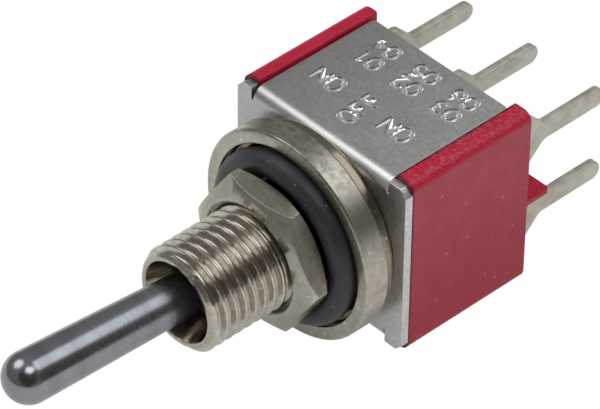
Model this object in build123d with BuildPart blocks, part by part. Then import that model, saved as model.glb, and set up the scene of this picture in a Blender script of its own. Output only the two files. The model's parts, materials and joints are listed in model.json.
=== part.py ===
"""Miniature sealed toggle switch, two poles, on-off-on, with printed-circuit pins."""
import os
from math import atan2, cos, degrees, radians, sin, sqrt, tan

from build123d import *

os.makedirs("parts", exist_ok=True)

# All sizes are in millimetres and all angles in degrees.
# The origin is the centre of the flange face that meets the panel.
# -Y points out of the bushing, +X is the way the lever is thrown, +Z is up.

# Bushing
thread_radius = 3.00
thread_reach = 7.76
mouth_chamfer = 0.40
mouth_chamfer_length = 0.34
mouth_radius = 2.39
neck_radius = 1.85
neck_start = 5.90
flange_inset = 0.18
flange_thickness = 1.55
flange_edge = 0.12
shoulder_step = 0.31
shoulder_thickness = 0.85
shoulder_edge = 0.30
ring_groove_rim = 0.82
ring_groove_depth = 0.72
spigot_radius = 3.90
stake_radius = 4.15
stake_thickness = 0.35
rear_bore_radius = 3.30
rear_bore_depth = 2.10

# Hex nut and panel ring
nut_flats = 8.00
nut_thickness = 1.98
nut_standoff = 0.70
nut_turn = -2
nut_face_radius = 3.44
nut_chamfer_angle = 30
nut_bore_clearance = 0.05
nut_countersink = 0.30
ring_wire = 1.55
ring_outer_gap = 0.195
ring_seat_gap = 0.01

# Bracket, folded from one strip
plate_thickness = 0.50
bracket_width = 12.70
bracket_inset = 0.215
bracket_corner = 0.45
leg_inset = 1.30
leg_side_gap = 0.10
leg_shift = -0.10
leg_length = 8.76
leg_recess = 0.245
leg_corner = 0.20
bend_radius = 0.75
relief_width = 0.12
relief_depth = 0.82
plate_hole_clearance = 0.02

# Moulded case
case_height = 11.43
case_depth = 8.67
side_wall = 1.10
cheek_round = 0.62
cheek_inner_round = 0.15
rear_edge_round = 0.10
leg_gap = 0.03
floor_wall = 0.59
base_thickness = 1.57
barrier_top = -0.30
barrier_thickness = 0.30
barrier_reach = 1.63
barrier_corner = 0.25
seal_depth = 0.35
seal_margin = 0.75
seal_rim = 0.10
seal_corner = 0.20
slot_gap = 0.02

# Terminals
pin_inset = 1.40
row_spacing = 5.08
strip_thickness = 0.50
pin_width = 1.14
pin_reach = 6.80
shoulder_width = 3.30
shoulder_reach = 1.15
shoulder_round = 0.50
pad_thickness = 0.40
pad_width = 2.00
contact_inset = 0.85
pad_end_margin = 0.85
fixed_contact_radius = 0.60
fixed_contact_height = 0.33
post_width = 1.60

# Lever, swung about the pivot
pivot_depth = 3.30
lever_lean = -3.60
lever_throw = 12.50
ball_radius = 2.30
ball_clearance = 0.05
tip_centre = 13.70
tip_radius = 1.44
lever_mouth_radius = 1.25
waist_radius = 1.06
waist_place = 2.25
tail_radius = 0.85
pin_radius = 0.50
pin_clearance = 0.03
pin_half_length = 2.45
keyway_gap = 0.05
seal_place = 1.10
seal_wire = 0.70
seal_gap = 0.04
press_gap = 0.01

# Actuator, plungers and springs
actuator_width = 3.00
actuator_height = 6.90
actuator_length = 3.00
actuator_edge = 0.35
tail_hole_depth = 1.90
plunger_radius = 0.75
plunger_clearance = 0.04
plunger_length = 1.90
plunger_exposed = 0.90
plunger_travel = 0.50
plunger_gap = 0.05
nose_share = 0.95
spring_wire = 0.16
spring_radius = 0.52
spring_coils = 4
spring_gap = 0.03

# Contact rockers
rocker_width = 1.90
rocker_strip = 0.30
rocker_height = 0.62
rocker_flat = 0.90
rocker_rise = 0.25
rocker_crest = 2.80
rocker_end_height = 0.45
rocker_end_length = 0.60
rocker_overhang = 0.65
rocker_ratio = 0.60
rocker_leg_gap = 0.08
rocker_leg = 0.27
rocker_leg_drop = 0.30
moving_contact_radius = 0.60
moving_contact_height = 0.20
contact_clearance = 0.02
contact_round = 0.08

# Places that follow from the sizes above
flange_radius = bracket_width / 2 - flange_inset
shoulder_radius = flange_radius - shoulder_step
ring_groove_radius = flange_radius - ring_groove_rim
ring_centre_radius = ring_groove_radius - ring_outer_gap - ring_wire / 2
plate_front = flange_thickness + shoulder_thickness
plate_rear = plate_front + plate_thickness
leg_width = bracket_width - 2 * leg_inset
leg_top = case_height / 2 - leg_recess
bracket_height = case_height - 2 * bracket_inset
case_rear = plate_rear + case_depth
case_floor = case_rear - base_thickness
groove_floor = leg_top - plate_thickness - leg_gap
cavity_half_height = groove_floor - floor_wall
cavity_half_width = bracket_width / 2 - side_wall
pin_pitch = bracket_width / 2 - pin_inset
contact_place = pin_pitch - contact_inset
row_places = {"upper": row_spacing / 2, "lower": -row_spacing / 2}
pivot = Vector(0, -pivot_depth, 0)
fixed_contact_face = case_floor - pad_thickness - fixed_contact_height
moving_contact_drop = rocker_strip + moving_contact_height - rocker_end_height
rocker_swing = lever_throw * rocker_ratio
contact_rim = contact_place + moving_contact_radius
contact_travel = contact_rim * sin(radians(rocker_swing))
rocker_axis = fixed_contact_face - moving_contact_drop - contact_travel - contact_clearance
plunger_tip = rocker_axis - rocker_height - plunger_gap + pivot_depth
actuator_rear = plunger_tip - plunger_exposed
actuator_front = actuator_rear - actuator_length
plunger_rear = plunger_tip - plunger_length
spring_front = plunger_rear - spring_coils * spring_wire - plunger_travel - 2 * spring_wire


def swung_direction(angle):
    """Unit vector that points rearwards when a piece is turned by angle about +Z."""
    return Vector(-sin(radians(angle)), cos(radians(angle)), 0)


# Along the lever, x of this plane runs rearwards from the pivot and y is its radius.
lever_axis = Axis(pivot, swung_direction(lever_lean))
lever_side = Plane(origin=pivot, x_dir=swung_direction(lever_lean), z_dir=(0, 0, 1))


def lever_plane(place):
    """Plane square to the lever, place behind the pivot: x is sideways, y is down."""
    return Plane(
        origin=pivot + swung_direction(lever_lean) * place,
        x_dir=swung_direction(lever_lean - 90),
        z_dir=swung_direction(lever_lean),
    )


def save(piece, name):
    """Label a finished piece and write its STEP file."""
    piece.part.label = name
    export_step(piece.part, f"parts/{name}.step")


# Bushing, turned in one piece with its flange and the spigot that is staked over
seat_radius = ball_radius + ball_clearance
neck_end = sqrt(seat_radius**2 - neck_radius**2)
rear_bore_start = plate_rear + stake_thickness - rear_bore_depth
with BuildPart() as bushing:
    with BuildSketch(Plane.XY):
        with BuildLine():
            Polyline(
                (neck_radius, -pivot_depth - neck_end),
                (neck_radius, -neck_start),
                (mouth_radius, -thread_reach),
                (thread_radius - mouth_chamfer, -thread_reach),
                (thread_radius, -thread_reach + mouth_chamfer_length),
                (thread_radius, ring_groove_depth),
                (ring_groove_radius, ring_groove_depth),
                (ring_groove_radius, 0),
                (flange_radius - flange_edge, 0),
                (flange_radius, flange_edge),
                (flange_radius, flange_thickness - flange_edge),
                (flange_radius - flange_edge, flange_thickness),
                (shoulder_radius, flange_thickness),
                (shoulder_radius, plate_front - shoulder_edge),
                (shoulder_radius - shoulder_edge, plate_front),
                (spigot_radius, plate_front),
                (spigot_radius, plate_rear),
                (stake_radius, plate_rear),
                (spigot_radius, plate_rear + stake_thickness),
                (rear_bore_radius, plate_rear + stake_thickness),
                (rear_bore_radius, rear_bore_start),
                (seat_radius, rear_bore_start),
                (seat_radius, -pivot_depth),
            )
            CenterArc((0, -pivot_depth), seat_radius, 0, -degrees(atan2(neck_end, neck_radius)))
        make_face()
    revolve(axis=Axis.Y)
    # Two keyways in the bore take the ends of the pivot pin.
    keyway_half = pin_radius + pin_clearance
    with BuildSketch(Plane.XZ.offset(-rear_bore_start)):
        Rectangle(2 * keyway_half, 2 * (pin_half_length + keyway_gap))
    extrude(amount=pivot_depth + rear_bore_start, mode=Mode.SUBTRACT)
    with BuildSketch(Plane.XY):
        with Locations((0, -pivot_depth)):
            Circle(keyway_half)
    extrude(amount=pin_half_length + keyway_gap, both=True, mode=Mode.SUBTRACT)
save(bushing, "bushing")

# Hex nut, chamfered on both faces
nut_rear = -nut_standoff
nut_front = nut_rear - nut_thickness
nut_corner = nut_flats / sqrt(3)
chamfer_depth = (nut_corner - nut_face_radius) * tan(radians(nut_chamfer_angle))
nut_bore = thread_radius + nut_bore_clearance
with BuildPart() as hex_nut:
    with BuildSketch(Plane.XZ.offset(-nut_rear)):
        RegularPolygon(nut_flats / 2, 6, major_radius=False, rotation=nut_turn)
    extrude(amount=nut_thickness)
    with BuildSketch(Plane.XY):
        with BuildLine():
            Polyline(
                (nut_bore, nut_rear - nut_countersink),
                (nut_bore + nut_countersink, nut_rear),
                (nut_face_radius, nut_rear),
                (nut_corner, nut_rear - chamfer_depth),
                (nut_corner, nut_front + chamfer_depth),
                (nut_face_radius, nut_front),
                (nut_bore + nut_countersink, nut_front),
                (nut_bore, nut_front + nut_countersink),
                close=True,
            )
        make_face()
    revolve(axis=Axis.Y, mode=Mode.INTERSECT)
save(hex_nut, "hex_nut")

# Panel ring, a rubber O-ring that lies in the groove of the flange
with BuildPart() as panel_o_ring:
    with BuildSketch(Plane.XY):
        with Locations((ring_centre_radius, ring_groove_depth - ring_seat_gap - ring_wire / 2)):
            Circle(ring_wire / 2)
    revolve(axis=Axis.Y)
save(panel_o_ring, "panel_o_ring")

# Bracket: a front plate with four ears, and two legs folded back along the case
leg_half = leg_width / 2
groove_width = leg_width + 2 * leg_side_gap
ear_height = bracket_height / 2
bend_centre_y = plate_front + bend_radius
bend_centre_z = leg_top - bend_radius
with BuildPart() as bracket:
    with BuildSketch(Plane.XZ.offset(-plate_rear)):
        Rectangle(bracket_width, bracket_height)
        chamfer(vertices(), bracket_corner)
        Circle(spigot_radius + plate_hole_clearance, mode=Mode.SUBTRACT)
        for side in (-1, 1):
            middle = side * (bend_centre_z + ear_height) / 2
            with Locations((leg_shift, middle)):
                Rectangle(leg_width, ear_height - bend_centre_z, mode=Mode.SUBTRACT)
            for edge in (-1, 1):
                relief_x = leg_shift + edge * (leg_half + relief_width / 2)
                relief_z = side * (ear_height - relief_depth / 2)
                with Locations((relief_x, relief_z)):
                    Rectangle(relief_width, relief_depth, mode=Mode.SUBTRACT)
    extrude(amount=plate_thickness)
    with BuildSketch(Plane.YZ.offset(leg_shift)):
        with BuildLine():
            Line((plate_front, bend_centre_z), (plate_rear, bend_centre_z))
            CenterArc((bend_centre_y, bend_centre_z), bend_radius - plate_thickness, 90, 90)
            Polyline(
                (bend_centre_y, leg_top - plate_thickness),
                (plate_front + leg_length, leg_top - plate_thickness),
                (plate_front + leg_length, leg_top),
                (bend_centre_y, leg_top),
            )
            CenterArc((bend_centre_y, bend_centre_z), bend_radius, 90, 90)
        make_face()
        mirror(about=Plane.XZ)
    extrude(amount=leg_half, both=True)
    fillet(edges().filter_by(Axis.Z).group_by(Axis.Y)[-1], leg_corner)
save(bracket, "bracket")

# Case, an open moulded box with a groove for each leg and a rib between the pin rows
half_height = case_height / 2
half_width = bracket_width / 2
strip_slot = strip_thickness + 2 * slot_gap
shoulder_slot = shoulder_width + 2 * slot_gap
recess_width = bracket_width - 2 * seal_margin
recess_height = shoulder_width + 2 * seal_rim
with BuildPart() as case:
    with BuildSketch(Plane.XZ.offset(-case_rear)):
        Rectangle(bracket_width, case_height)
        fillet(vertices(), cheek_round)
        for side in (-1, 1):
            with Locations((leg_shift, side * (groove_floor + half_height) / 2)):
                Rectangle(groove_width, half_height - groove_floor, mode=Mode.SUBTRACT)
        crest_limit = cavity_half_width + cheek_inner_round
        crests = vertices().filter_by(lambda v: abs(v.X) < crest_limit and abs(v.Y) > leg_top)
        fillet(crests, cheek_inner_round)
    extrude(amount=case_depth)
    rear_edges = faces().sort_by(Axis.Y)[-1].outer_wire().edges()
    fillet(rear_edges, rear_edge_round)
    with BuildSketch(Plane.XZ.offset(-case_floor)):
        Rectangle(2 * cavity_half_width, 2 * cavity_half_height)
    extrude(amount=case_depth - base_thickness, mode=Mode.SUBTRACT)
    # The front edges under the legs are cut back, clear of the inside of each bend.
    front = faces().sort_by(Axis.Y)[0].outer_wire().edges().filter_by(Axis.X)
    under_legs = front.filter_by(lambda e: abs(abs(e.center().Z) - groove_floor) < leg_gap)
    chamfer(under_legs, bend_radius - plate_thickness)
    # The rib that keeps the two rows of pins apart stands on the rear face.
    with BuildSketch(Plane.XY.offset(barrier_top - barrier_thickness)):
        with Locations((0, case_rear + (barrier_reach - rear_edge_round) / 2)):
            Rectangle(bracket_width, barrier_reach + rear_edge_round)
        tips = vertices().sort_by(Axis.Y)[-2:]
        fillet(tips, barrier_corner)
    extrude(amount=barrier_thickness)
    # A shallow recess round each row takes the sealing resin.
    for place in row_places.values():
        with BuildSketch(Plane.XZ.offset(-case_rear)):
            with Locations((0, place)):
                RectangleRounded(recess_width, recess_height, seal_corner)
        extrude(amount=seal_depth, mode=Mode.SUBTRACT)
    with BuildSketch(Plane.XZ.offset(-case_rear)):
        with GridLocations(pin_pitch, row_spacing, 3, 2):
            Rectangle(strip_slot, shoulder_slot)
    extrude(amount=base_thickness, mode=Mode.SUBTRACT)
save(case, "case")

# Sealing resin round the terminals, one slab in each recess of the case
for name, place in row_places.items():
    with BuildPart() as terminal_seal:
        with BuildSketch(Plane.XZ.offset(-case_rear)):
            with Locations((0, place)):
                RectangleRounded(recess_width, recess_height, seal_corner)
                with GridLocations(pin_pitch, 0, 3, 1):
                    Rectangle(strip_slot, shoulder_slot, mode=Mode.SUBTRACT)
        extrude(amount=seal_depth)
    save(terminal_seal, f"terminal_seal_{name}")


def make_terminal(name, column, row, head):
    """Cut a terminal from strip, with the head that its place in the case needs."""
    half_shoulder = shoulder_width / 2
    half_pin = pin_width / 2
    shoulder_end = case_rear + shoulder_reach
    pin_start = shoulder_end + half_shoulder - half_pin
    pin_end = case_rear + pin_reach
    with BuildPart() as terminal:
        with BuildSketch(Plane.YZ.offset(column)):
            with BuildLine():
                Polyline(
                    (pin_end - half_pin, row + half_pin),
                    (pin_start, row + half_pin),
                    (shoulder_end, row + half_shoulder),
                    (case_floor, row + half_shoulder),
                    (case_floor, row - half_shoulder),
                    (shoulder_end, row - half_shoulder),
                    (pin_start, row - half_pin),
                    (pin_end - half_pin, row - half_pin),
                )
                CenterArc((pin_end - half_pin, row), half_pin, -90, 180)
            make_face()
            bends = vertices().group_by(Axis.X)
            fillet(bends[1] + bends[2], shoulder_round)
        extrude(amount=strip_thickness / 2, both=True)
        if head == "post":
            # The centre terminals end in a rounded edge that their rocker rests on.
            with BuildSketch(Plane.XY.offset(row)):
                with BuildLine():
                    Polyline(
                        (column - strip_thickness / 2, rocker_axis),
                        (column - strip_thickness / 2, case_floor),
                        (column + strip_thickness / 2, case_floor),
                        (column + strip_thickness / 2, rocker_axis),
                    )
                    CenterArc((column, rocker_axis), strip_thickness / 2, 0, -180)
                make_face()
            extrude(amount=post_width / 2, both=True)
        else:
            # The outer ones fold over inside the case and carry a riveted contact.
            side = 1 if column > 0 else -1
            outer = column + side * strip_thickness / 2
            inner = side * (contact_place - pad_end_margin)
            with BuildSketch(Plane.XZ.offset(-case_floor)):
                with Locations(((outer + inner) / 2, row)):
                    Rectangle(abs(outer - inner), pad_width)
            extrude(amount=pad_thickness)
    save(terminal, name)


columns = (-pin_pitch, 0, pin_pitch)
pin_places = [(row, column) for row in row_places.values() for column in columns]
for number, (row, column) in enumerate(pin_places, start=1):
    make_terminal(f"terminal_{number}", column, row, "post" if column == 0 else "pad")

# Lever, turned in one piece: bat, waist, ball and tail
waist_start = -waist_place
mouth_place = pivot_depth - thread_reach
ball_front = -sqrt(ball_radius**2 - waist_radius**2)
ball_rear = sqrt(ball_radius**2 - tail_radius**2)
waist_angle = degrees(atan2(waist_radius, -ball_front))
tail_angle = degrees(atan2(tail_radius, ball_rear))
tip_angle = degrees(atan2(tip_radius - lever_mouth_radius, tip_centre + mouth_place))
flank_start = -tip_centre + tip_radius * sin(radians(tip_angle))
tail_end = actuator_front + tail_hole_depth
with BuildPart() as lever:
    with BuildSketch(lever_side):
        with BuildLine():
            Line((-tip_centre - tip_radius, 0), (tail_end, 0))
            CenterArc((-tip_centre, 0), tip_radius, 180, -90 - tip_angle)
            Polyline(
                (flank_start, tip_radius * cos(radians(tip_angle))),
                (mouth_place, lever_mouth_radius),
                (waist_start, waist_radius),
                (ball_front, waist_radius),
            )
            CenterArc((0, 0), ball_radius, 180 - waist_angle, waist_angle + tail_angle - 180)
            Polyline((ball_rear, tail_radius), (tail_end, tail_radius), (tail_end, 0))
        make_face()
    revolve(axis=lever_axis)
    # The cross hole holds the pivot pin and the groove holds the lever seal.
    with BuildSketch(Plane.XY):
        with Locations((pivot.X, pivot.Y)):
            Circle(pin_radius + press_gap)
    extrude(amount=ball_radius, both=True, mode=Mode.SUBTRACT)
    seal_centre = seat_radius - seal_gap - seal_wire / 2
    seal_ring_radius = sqrt(seal_centre**2 - seal_place**2)
    with BuildSketch(lever_side):
        with Locations((-seal_place, seal_ring_radius)):
            Circle(seal_wire / 2 + press_gap)
    revolve(axis=lever_axis, mode=Mode.SUBTRACT)
save(lever, "lever")

# Lever seal, a small O-ring in the front of the ball
with BuildPart() as lever_seal:
    with BuildSketch(lever_side):
        with Locations((-seal_place, seal_ring_radius)):
            Circle(seal_wire / 2)
    revolve(axis=lever_axis)
save(lever_seal, "lever_seal")

# Pivot pin, pressed through the ball, with its ends in the keyways of the bore
with BuildPart() as pivot_pin:
    with BuildSketch(Plane.XY):
        with Locations((pivot.X, pivot.Y)):
            Circle(pin_radius)
    extrude(amount=pin_half_length, both=True)
save(pivot_pin, "pivot_pin")

# Actuator, a moulded block on the tail with a blind hole for each plunger
plunger_bore = plunger_radius + plunger_clearance
with BuildPart() as actuator:
    with BuildSketch(lever_plane(actuator_front)):
        RectangleRounded(actuator_width, actuator_height, actuator_edge)
    extrude(amount=actuator_length)
    with BuildSketch(lever_plane(actuator_front)):
        Circle(tail_radius + press_gap)
    extrude(amount=tail_hole_depth, mode=Mode.SUBTRACT)
    with BuildSketch(lever_plane(actuator_rear)):
        with GridLocations(0, row_spacing, 1, 2):
            Circle(plunger_bore)
    extrude(amount=spring_front - actuator_rear, mode=Mode.SUBTRACT)
save(actuator, "actuator")

for name, place in row_places.items():
    # Plunger, a plain pin with a round nose that slides in the actuator
    with BuildPart() as plunger:
        with BuildSketch(lever_plane(plunger_rear)):
            with Locations((0, -place)):
                Circle(plunger_radius)
        extrude(amount=plunger_length)
        nose = edges().filter_by(GeomType.CIRCLE).sort_by(lever_axis)[-1]
        fillet(nose, plunger_radius * nose_share)
    save(plunger, f"plunger_{name}")

    # Spring, a short coil behind the plunger in the same hole
    coil_start = spring_front + spring_gap + spring_wire / 2
    coil_rise = plunger_rear - spring_gap - spring_wire / 2 - coil_start
    with BuildPart() as spring:
        with BuildLine() as coil:
            Helix(
                pitch=coil_rise / spring_coils,
                height=coil_rise,
                radius=spring_radius,
                center=lever_plane(coil_start).from_local_coords((0, -place, 0)),
                direction=swung_direction(lever_lean),
            )
        with BuildSketch(Plane(coil.line @ 0, z_dir=coil.line % 0)):
            RegularPolygon(spring_wire / 2, 6)
        sweep(is_frenet=True)
    save(spring, f"plunger_spring_{name}")

# Contact rockers, stamped strips that tilt on the centre terminals as the lever is thrown
rocker_side = Plane(
    origin=(0, rocker_axis, 0),
    x_dir=swung_direction(-lever_lean * rocker_ratio - 90),
    z_dir=(0, 0, -1),
)
rocker_top = [
    (rocker_flat, rocker_height),
    (rocker_crest, rocker_height + rocker_rise),
    (contact_place - rocker_end_length, rocker_end_height),
    (contact_place + rocker_overhang, rocker_end_height),
]
rocker_under = [(x, height - rocker_strip) for x, height in reversed(rocker_top)]
leg_place = strip_thickness / 2 + rocker_leg_gap + rocker_leg / 2
leg_height = rocker_height - rocker_strip / 2 + rocker_leg_drop
for name, place in row_places.items():
    with BuildPart() as rocker:
        with BuildSketch(rocker_side.offset(-place)):
            with BuildLine():
                Polyline(
                    (0, rocker_height),
                    *rocker_top,
                    *rocker_under,
                    (0, rocker_height - rocker_strip),
                    close=True,
                )
            make_face()
            with Locations((leg_place, leg_height / 2 - rocker_leg_drop)):
                Rectangle(rocker_leg, leg_height)
            mirror(about=Plane.YZ)
        extrude(amount=rocker_width / 2, both=True)
    save(rocker, f"rocker_{name}")

    # Moving contacts, one button under each end of the rocker
    with BuildPart() as moving_contacts:
        under_face = rocker_end_height - rocker_strip
        button_plane = Plane(
            origin=rocker_side.offset(-place).from_local_coords((0, under_face, 0)),
            x_dir=rocker_side.x_dir,
            z_dir=-rocker_side.y_dir,
        )
        with BuildSketch(button_plane):
            with Locations((-contact_place, 0), (contact_place, 0)):
                Circle(moving_contact_radius)
        extrude(amount=moving_contact_height)
        ends = faces().sort_by(Axis(button_plane.origin, button_plane.z_dir))[-2:]
        fillet(ends.edges(), contact_round)
    save(moving_contacts, f"moving_contacts_{name}")

# Fixed contacts, one rivet head on each of the four outer terminals
with BuildPart() as fixed_contacts:
    with BuildSketch(Plane.XZ.offset(pad_thickness - case_floor)):
        with GridLocations(2 * contact_place, row_spacing, 2, 2):
            Circle(fixed_contact_radius)
    extrude(amount=fixed_contact_height)
    rims = faces().group_by(Axis.Y)[0].edges()
    fillet(rims, contact_round)
save(fixed_contacts, "fixed_contacts")
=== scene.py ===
# %% [markdown]
# # A miniature toggle switch
#
# The switch comes in from model.glb: every CAD solid comes in as a fixed frame, in metres, with the centre of
# the
# flange's front face at the origin. The lever points along -Y and +Z is up. This notebook dresses that frame:
# it cuts the thread, winds the springs, stamps the bracket, eases the edges and gives each piece its finish.

import json
from math import acos, cos, pi, radians, sin, sqrt

import bmesh
import bpy
from mathutils import Matrix, Vector


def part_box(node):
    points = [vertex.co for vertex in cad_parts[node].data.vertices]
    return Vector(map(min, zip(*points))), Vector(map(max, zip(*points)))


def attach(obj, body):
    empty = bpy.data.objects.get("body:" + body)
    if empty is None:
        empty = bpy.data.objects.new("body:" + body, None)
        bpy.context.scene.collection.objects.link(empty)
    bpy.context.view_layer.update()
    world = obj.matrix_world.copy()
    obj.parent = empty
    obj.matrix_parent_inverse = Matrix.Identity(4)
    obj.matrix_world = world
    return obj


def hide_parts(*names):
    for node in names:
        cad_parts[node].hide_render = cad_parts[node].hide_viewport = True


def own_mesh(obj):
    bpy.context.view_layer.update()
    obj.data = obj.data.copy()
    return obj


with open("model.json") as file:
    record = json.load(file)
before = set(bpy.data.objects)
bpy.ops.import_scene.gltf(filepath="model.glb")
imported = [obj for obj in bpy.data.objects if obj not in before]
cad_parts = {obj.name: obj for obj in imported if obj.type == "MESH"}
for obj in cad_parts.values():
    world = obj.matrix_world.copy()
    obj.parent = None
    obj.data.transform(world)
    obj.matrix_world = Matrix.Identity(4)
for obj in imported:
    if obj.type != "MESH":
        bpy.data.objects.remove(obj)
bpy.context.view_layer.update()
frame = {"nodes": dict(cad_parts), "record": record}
MM = 0.001
print("nodes in the frame:", len(frame["nodes"]))

# %% [markdown]
# ## Camera
#
# The photograph was taken with a long lens from above the lever's right-hand side. The place, turn and focal
# length below were solved from points on the switch, so the render lines up with the photograph.

# %% Camera
CAMERA_PLACE = Vector((137.56, -130.93, 164.85)) * MM
CAMERA_TURN = (49.414, -0.635, 46.744)
FOCAL_LENGTH = 288.96
SENSOR_WIDTH = 36.0
camera_data = bpy.data.cameras.new("camera")
camera_data.sensor_width = SENSOR_WIDTH
camera_data.lens = FOCAL_LENGTH
camera_data.clip_start = 0.01
camera = bpy.data.objects.new("camera", camera_data)
camera.location = CAMERA_PLACE
camera.rotation_euler = [radians(angle) for angle in CAMERA_TURN]
bpy.context.collection.objects.link(camera)
bpy.context.scene.camera = camera
print("camera is", round(camera.location.length / MM), "mm from the flange")

# %% [markdown]
# ## Node arithmetic
#
# Shaders and Geometry Nodes are both graphs, and both use the same Math node. Written out node by node they
# are hard to read, so a small class wraps an output and lets + - * / add the Math nodes. Every other node
# comes from one method of the tree that holds it.

# %% A value in a node tree
class Value:
    """One output in a node tree. Each operator and method adds a node and gives back its output."""

    def __init__(self, tree, socket):
        self.tree = tree
        self.socket = socket

    def math(self, operation, other=0.0):
        return self.tree.math(operation, self, other)

    def __add__(self, other):
        return self.math("ADD", other)

    def __sub__(self, other):
        return self.math("SUBTRACT", other)

    def __rsub__(self, other):
        return self.tree.math("SUBTRACT", other, self)

    def __mul__(self, other):
        return self.math("MULTIPLY", other)

    def __rmul__(self, other):
        return self.math("MULTIPLY", other)

    def __truediv__(self, other):
        return self.math("DIVIDE", other)

    def __pow__(self, other):
        return self.math("POWER", other)

    def __abs__(self):
        return self.math("ABSOLUTE")

    def lower_of(self, other):
        return self.math("MINIMUM", other)

    def upper_of(self, other):
        return self.math("MAXIMUM", other)

    def above(self, limit):
        return self.math("GREATER_THAN", limit)

    def spread(self, low, high, new_low, new_high):
        """Map low..high onto new_low..new_high and hold it there outside."""
        sockets = {"Value": self, "From Min": low, "From Max": high, "To Min": new_low, "To Max": new_high}
        return self.tree.node("ShaderNodeMapRange", {"clamp": True}, sockets)

    def between(self, new_low, new_high, reach=0.2):
        """Map a noise onto new_low..new_high. Most of its values lie within that reach of a half."""
        return self.spread(0.5 - reach, 0.5 + reach, new_low, new_high)


print("values can be added, multiplied and spread")

# %% A node tree
class Tree:
    """A node tree that is filled by one method."""

    def __init__(self, node_tree):
        self.node_tree = node_tree

    def node(self, kind, settings=None, sockets=None, output=0):
        node = self.node_tree.nodes.new(kind)
        for setting, value in (settings or {}).items():
            setattr(node, setting, value)
        for key, value in (sockets or {}).items():
            if isinstance(value, Value):
                self.node_tree.links.new(value.socket, node.inputs[key])
            else:
                node.inputs[key].default_value = value
        return Value(self, node.outputs[output])

    def math(self, operation, first, second):
        return self.node("ShaderNodeMath", {"operation": operation}, {0: first, 1: second})

    def axes(self, place):
        """The three coordinates of a place."""
        split = self.node("ShaderNodeSeparateXYZ", {}, {0: place}).socket.node
        return [Value(self, socket) for socket in split.outputs]

    def point(self, x, y, z):
        return self.node("ShaderNodeCombineXYZ", {}, {0: x, 1: y, 2: z})

    def mix(self, share, first, second):
        """A colour between two others."""
        return self.node("ShaderNodeMix", {"data_type": "RGBA"}, {0: share, 6: first, 7: second}, 2)


print("node trees are ready")

# %% [markdown]
# ## Finishes
#
# A finish is a Principled surface with a few layers over it. All patterns read Object coordinates, and every
# piece keeps its object at the origin, so a grain of 0.1 mm is 0.1 mm on every piece.

# %% A finish under construction
class Finish(Tree):
    """One material. What is constant goes on the surface's own sockets; what varies is linked."""

    def __init__(self, name, constants):
        self.material = bpy.data.materials.new(name)
        self.material.use_nodes = True
        super().__init__(self.material.node_tree)
        self.surface = self.node_tree.nodes["Principled BSDF"]
        for socket, value in constants.items():
            self.surface.inputs[socket].default_value = value
        self.place = self.node("ShaderNodeTexCoord", {}, {}, "Object")

    def noise(self, place, size, detail=3.0, distortion=0.0):
        """Soft random values from 0 to 1, with patches of that size in metres."""
        sockets = {"Vector": place, "Scale": 1 / size, "Detail": detail, "Distortion": distortion}
        return self.node("ShaderNodeTexNoise", {"noise_dimensions": "3D"}, sockets)

    def spots(self, size, reach):
        """1 in the middle of scattered spots and 0 away from them."""
        sockets = {"Vector": self.place, "Scale": 1 / size, "Randomness": 1.0}
        far = self.node("ShaderNodeTexVoronoi", {"feature": "F1"}, sockets, "Distance")
        return far.spread(reach * 0.5, reach, 1.0, 0.0)

    def bump(self, height, depth):
        """A surface normal from a height field that is depth metres deep."""
        return self.node("ShaderNodeBump", {}, {"Height": height, "Strength": 1.0, "Distance": depth})

    def feed(self, **links):
        """Link varying values to the surface; an underscore in a name stands for a space."""
        for name, value in links.items():
            self.node_tree.links.new(value.socket, self.surface.inputs[name.replace("_", " ")])
        return self.material


print("finishes can be put together")

# %% [markdown]
# ### Nickel plate on brass
#
# The bushing and the nut are turned brass under thin nickel. The colour is a warm grey. It goes brown where
# the plate is thin: in the thread's roots, the mouth and in soft patches. The same brown is painted shade on
# the shoulder, and the ring's groove is brown partly from thin plate and partly as painted shade. The turning
# leaves fine rings, and handling leaves small bright nicks. The flange and the nut are duller than the
# barrel, and painted shade darkens them towards -X and most of all on the flange's upper edge. The nut's
# corners are rubbed bright.

# %% Where the plate differs
# Each pair says where a change along the radius or along Y starts and ends.
EDGE_RADIUS = (5.50 * MM, 5.95 * MM)
SHOULDER_FRONT = (1.50 * MM, 1.58 * MM)
COLLAR_RADIUS = (3.4 * MM, 3.6 * MM)
BARREL_END = (-1.0 * MM, -0.6 * MM)
ROOT_RADIUS = (2.66 * MM, 2.90 * MM)
GROOVE_DEPTH = (0.03 * MM, 0.10 * MM)
GROOVE_WALL = (5.38 * MM, 5.42 * MM)
CORNER_RADIUS = (4.20 * MM, 4.60 * MM)
NUT_REAR = (-0.10 * MM, 0.0)


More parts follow.
